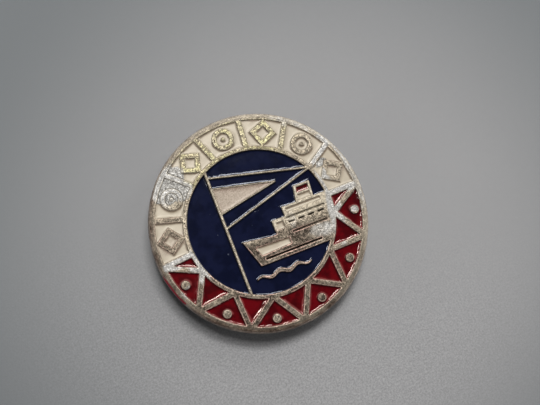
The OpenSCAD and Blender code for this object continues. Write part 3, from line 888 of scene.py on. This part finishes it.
def enamel_piece(name):
    f = POOLS[name]
    mat, sink, climb, reach, slot = LOOK[name.split("_")[0]]
    if name == "red_enamel_funnel":
        climb, reach = 0.025, 0.08
    loops = []
    edge = []
    for lev, step in ((-0.022, 0.11), (0.02, 0.11), (0.06, 0.12), (0.12, 0.14), (0.2, 0.18), (0.32, 0.24)):
        for l in f.contours(lev):
            e = even(l, step)
            if np.ptp(e, axis=0).max() > 0.08:
                loops.append(e)
                if lev < 0:
                    edge.append(e)
    lo = f.lo
    hi = f.lo + f.cell * np.array([f.nx, f.ny])
    g = hex_points(lo, hi, 0.28, 11)
    g = g[f(g[:, 0], g[:, 1]) > 0.42]
    co2, tri = triangulate(loops, g)
    area = np.cross(co2[tri[:, 1]] - co2[tri[:, 0]], co2[tri[:, 2]] - co2[tri[:, 0]])
    if area.sum() < 0:
        tri = tri[:, ::-1]
    tri = tri[part_of(edge, co2, tri, np.abs(area))]
    # a sliver cut off at a sharp corner is left out
    group, was = np.arange(len(co2)), None
    while was is None or (group != was).any():
        was = group.copy()
        np.minimum.at(group, tri.ravel(), np.repeat(group[tri].min(1), 3))
    size = np.bincount(group[tri[:, 0]], minlength=len(co2))
    tri = tri[size[group[tri[:, 0]]] >= 40]
    used, inv = np.unique(tri, return_inverse=True)
    co2, tri = co2[used], np.asarray(inv).reshape(-1, 3)
    x, y = co2[:, 0], co2[:, 1]
    d = f(x, y)
    w = wear_at(x, y, ENAMEL_RUBS) if name.startswith("cream") else np.zeros(len(x))
    rise = climb * np.clip(0.85 + 0.6 * N3.fbm(x, y, 0.7, 2), 0.2, 1.3)
    for e in edge:
        if np.ptp(e, axis=0).max() < 1.4 and name.startswith("red"):
            q = np.hypot(x - e[:, 0].mean(), y - e[:, 1].mean())
            rise *= 0.15 + 0.85 * smooth(0.75, 1.1, q)
    z = Z_EN + sink + rise * np.exp(-np.maximum(d, 0) / reach)
    z = np.where(d < 0, np.minimum(z, Z_TOP - 0.02 - profile(d, WALL) - 0.04), z)
    z = z + 0.008 * N1.fbm(x, y, 2.2, 2) * smooth(0, 0.3, d)
    # rubbed down to bare rough metal, level with the lines
    rub = smooth(0.42, 0.62, w) * smooth(-0.01, 0.05, d)
    z = z + rub * (0.10 + 0.035 * N3.fbm(x, y, 0.35, 3))
    if name == "blue_enamel_sea":
        # a dried drop
        q = np.hypot(x - 0.1, (y - 0.75) * 1.15)
        z = z + 0.03 * np.exp(-((q - 0.45) / 0.11) ** 2) * (0.6 + 0.6 * N2.fbm(x, y, 0.3, 2))
    z = np.minimum(z, Z_TOP - 0.015)
    stain = np.zeros(len(x))
    if name == "cream_enamel_sail":
        top = y - (5.3 - (x + 3.9) * 0.222)
        stain = smooth(-1.5, -0.3, top + 0.2 * N2.fbm(x, y, 0.5, 2)) * smooth(-4.0, -2.7, x)
        stain = np.maximum(stain, smooth(-2.6, 1.2, x) * 0.85)
        stain = np.maximum(stain, 0.74)
    if name == "cream_enamel_ring":
        stain = 0.55 * blob(x, y, 11.0, 2.6, 0.9, 0.7, 0) + 0.8 * blob(x, y, -9.9, 1.0, 1.9, 0.65, 15) \
            + 0.5 * blob(x, y, 10.2, 3.3, 1.0, 0.5, -30) + 0.35 * blob(x, y, 2.9, 11.2, 0.9, 0.35, -12)
        stain = np.clip(stain * (0.8 + 0.6 * N1.fbm(x, y, 0.5, 2)), 0, 0.9)
    dust = np.zeros(len(x))
    if name == "blue_enamel_sea":
        q = np.hypot(x - 0.1, (y - 0.75) * 1.15)
        dust = (0.40 + 0.16 * N2.fbm(x, y, 0.3, 1)) * np.exp(-((q - 0.45) / 0.15) ** 2)
    if name.startswith("blue"):
        r = np.random.RandomState(41)
        for _ in range(60):
            cx, cy = r.uniform(-8, 8, 2)
            dust = np.maximum(dust, r.uniform(0.45, 0.85) * np.exp(-((x - cx) ** 2 + (y - cy) ** 2) / 0.010))
    # walls on the side away from the light (lee), used for painted highlight and painted shade in the enamel
    gx, gy = f.slope(x, y)
    lee = smooth(-0.3, 0.7, -(gx * math.sin(math.radians(21.5)) + gy * math.cos(math.radians(21.5))))
    n = len(x)
    top = np.column_stack([x, y, z])
    bot = np.column_stack([x, y, np.full(n, Z_FLOOR + 0.004)])
    e = np.concatenate([tri[:, [0, 1]], tri[:, [1, 2]], tri[:, [2, 0]]])
    key = {(int(a), int(b)) for a, b in e}
    rim = [(a, b) for a, b in key if (b, a) not in key]
    faces = tri.tolist() + (tri[:, ::-1] + n).tolist() + [(b, a, a + n, b + n) for a, b in sorted(rim)]
    at = lambda v: np.concatenate([v, v])
    o = make(name + "_fill", np.vstack([top, bot]), faces, mat,
             {"edge_d": at(d), "wear": at(w), "stain": at(stain), "lee": at(lee), "dust": at(dust)})
    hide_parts(name)
    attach(o, "badge")
    return o


for _n in ENAMEL:
    enamel_piece(_n)


# ---------------------------------------------------------------- back fittings

def dress(name, mat):
    o = NODES[name]
    for k in range(len(o.material_slots)):
        o.material_slots[k].material = mat


dress("pin_plate", M_STRIP)
dress("plate_rivets", M_RIVET)
dress("hinge_rivet", M_POST)
dress("needle", M_WIRE)


# ---------------------------------------------------------------- floor, light, camera

def floor():
    m, nt, b = mat_base("floor_look")
    n = Net(nt)
    grain = n.noise(0.22, 2.0, 0.75)
    broad = n.noise(30.0, 2.0, 0.5)
    # the near part of the sheet shows its grain, the far part is smooth
    near = n.map(n.dot((UP.x, UP.y, 0.0)), 0.004, -0.018)
    col = n.mix(n.map(broad, 0.3, 0.7), (0.300, 0.300, 0.307), (0.314, 0.314, 0.321))
    off = n.math("POWER", n.math("ADD", n.math("POWER", n.dot((RIGHT.x, RIGHT.y, 0.0)), 2.0),
                                n.math("POWER", n.dot((UP.x, UP.y, 0.0)), 2.0)), 0.5)
    near = n.math("MULTIPLY", near, n.map(off, 0.022, 0.040, 1.0, 0.40))
    g = n.math("ADD", 1.0, n.math("MULTIPLY", n.math("SUBTRACT", grain, 0.5), n.math("ADD", 0.04, n.math("MULTIPLY", near, 1.10))))
    g = n.math("ADD", g, n.math("MULTIPLY", n.math("SUBTRACT", n.noise(0.75, 2.0, 0.6), 0.5), n.math("ADD", 0.05, n.math("MULTIPLY", near, 0.12))))
    col = n.mix(1.0, col, n.gray(g), "MULTIPLY")
    # painted shade: the floor darkens away from a point near the badge, and more towards the lower corners
    far = n.math("POWER", n.math("ADD", n.math("POWER", n.math("SUBTRACT", n.dot((RIGHT.x, RIGHT.y, 0.0)), 0.008), 2.0),
                                n.math("POWER", n.math("SUBTRACT", n.dot((UP.x, UP.y, 0.0)), -0.002), 2.0)), 0.5)
    col = n.mix(n.map(far, 0.017, 0.045), col, (0.176, 0.188, 0.197))
    side = n.math("ABSOLUTE", n.math("SUBTRACT", n.dot((RIGHT.x, RIGHT.y, 0.0)), 0.008))
    fall = n.math("MULTIPLY", side, n.math("MAXIMUM", n.math("MULTIPLY", n.dot((UP.x, UP.y, 0.0)), -1.0), 0.0))
    fall = n.math("MULTIPLY", n.map(fall, 0.00016, 0.0009), n.map(far, 0.09, 0.05))
    col = n.mix(n.math("MULTIPLY", fall, 0.22), col, (0.10, 0.105, 0.11))
    col = n.mix(n.map(far, 0.055, 0.30), col, (0.56, 0.57, 0.58))
    n.put(b.inputs["Base Color"], col)
    b.inputs["Roughness"].default_value = 0.75
    b.inputs["Specular IOR Level"].default_value = 0.2
    n.put(b.inputs["Normal"], n.bump(n.math("MULTIPLY", grain, n.math("ADD", 0.1, near)), 0.05, 0.5))
    me = bpy.data.meshes.new("floor")
    rings = [0.012, 0.03, 0.06, 0.10, 0.15, 0.20, 0.25, 0.30] + [0.30 + 0.25 * math.sin(math.radians(t)) for t in range(6, 85, 6)]
    k = 96
    vs, fs = [(0.0, 0.0, -0.00002)], []
    for r in rings:
        z = 0.25 - math.sqrt(max(0.0, 0.0625 - max(0.0, r - 0.30) ** 2)) - 0.00002
        vs += [(r * math.cos(2 * math.pi * q / k), r * math.sin(2 * math.pi * q / k), z) for q in range(k)]
    for q in range(k):
        fs.append((0, 1 + q, 1 + (q + 1) % k))
        for j in range(len(rings) - 1):
            a, b = 1 + j * k, 1 + (j + 1) * k
            fs.append((a + q, b + q, b + (q + 1) % k, a + (q + 1) % k))
    me.from_pydata(vs, [], fs)
    me.shade_smooth()
    me.materials.append(m)
    o = bpy.data.objects.new("floor", me)
    bpy.context.scene.collection.objects.link(o)


def frame_axes():
    """Camera axes in the badge's frame: right, up and towards the camera."""
    t, az, roll = math.radians(10.5), math.radians(206.5), math.radians(21.5)
    v = Vector((math.sin(t) * math.cos(az), math.sin(t) * math.sin(az), math.cos(t)))
    up = Vector((math.sin(roll), math.cos(roll), 0))
    right = up.cross(v).normalized()
    up = v.cross(right).normalized()
    return right, up, v


RIGHT, UP, VIEW = frame_axes()
floor()


def aim(o, at, up):
    z = (o.location - at).normalized()
    x = up.cross(z).normalized()
    y = z.cross(x)
    o.rotation_euler = Matrix((x, y, z)).transposed().to_euler()


def area(name, loc, size, watts, color, at=Vector((0, 0, 0.004)), size_y=None):
    l = bpy.data.lights.new(name, "AREA")
    l.energy = watts
    l.color = color
    l.size = size
    if size_y:
        l.shape = "RECTANGLE"
        l.size_y = size_y
    o = bpy.data.objects.new(name, l)
    bpy.context.scene.collection.objects.link(o)
    o.location = loc
    aim(o, at, UP)
    return o


up0 = Vector((UP.x, UP.y, 0)).normalized()
rt0 = Vector((RIGHT.x, RIGHT.y, 0)).normalized()


def sky(elev, side, dist):
    """A place for a light: elevation and picture azimuth in degrees (90 is the top), and distance."""
    e, a = math.radians(elev), math.radians(side)
    return (rt0 * math.cos(a) + up0 * math.sin(a)) * (math.cos(e) * dist) + Vector((0, 0, math.sin(e) * dist))


area("key", sky(68.5, 92, 0.5), 0.18, 1.60, (1.0, 0.99, 0.97), size_y=0.085)
area("high", sky(76, 118, 0.5), 0.06, 0.60, (1.0, 0.99, 0.97))
area("top", sky(42, 95, 0.5), 0.3, 0.20, (1.0, 0.99, 0.95), size_y=0.16)
area("left", sky(38, 190, 0.5), 0.22, 0.07, (0.96, 0.98, 1.0))
area("right", sky(34, -14, 0.5), 0.24, 0.22, (1.0, 0.97, 0.94))
area("corner", sky(34, 42, 0.5), 0.16, 0.32, (1.0, 0.98, 0.95))

world = bpy.data.worlds.new("studio")
bpy.context.scene.world = world
world.use_nodes = True
bg = world.node_tree.nodes["Background"]
bg.inputs[0].default_value = (0.80, 0.84, 0.90, 1)
bg.inputs[1].default_value = 0.035

cam_data = bpy.data.cameras.new("camera")
cam = bpy.data.objects.new("camera", cam_data)
bpy.context.scene.collection.objects.link(cam)
CENTRE = Vector((0, 0, Z_TOP * MM))
DIST = 0.100
WIDE = 0.0606
cam_data.sensor_width = 36
cam_data.lens = 36 * DIST / WIDE
cam_data.clip_start = 0.001
cam_data.clip_end = 10
cam.location = CENTRE + VIEW * DIST
px = WIDE / 540
aim(cam, CENTRE + RIGHT * (9.6 * px) + UP * (18.7 * px), UP)
bpy.context.scene.camera = cam

bpy.context.scene.view_settings.view_transform = "Standard"

bpy.context.view_layer.update()
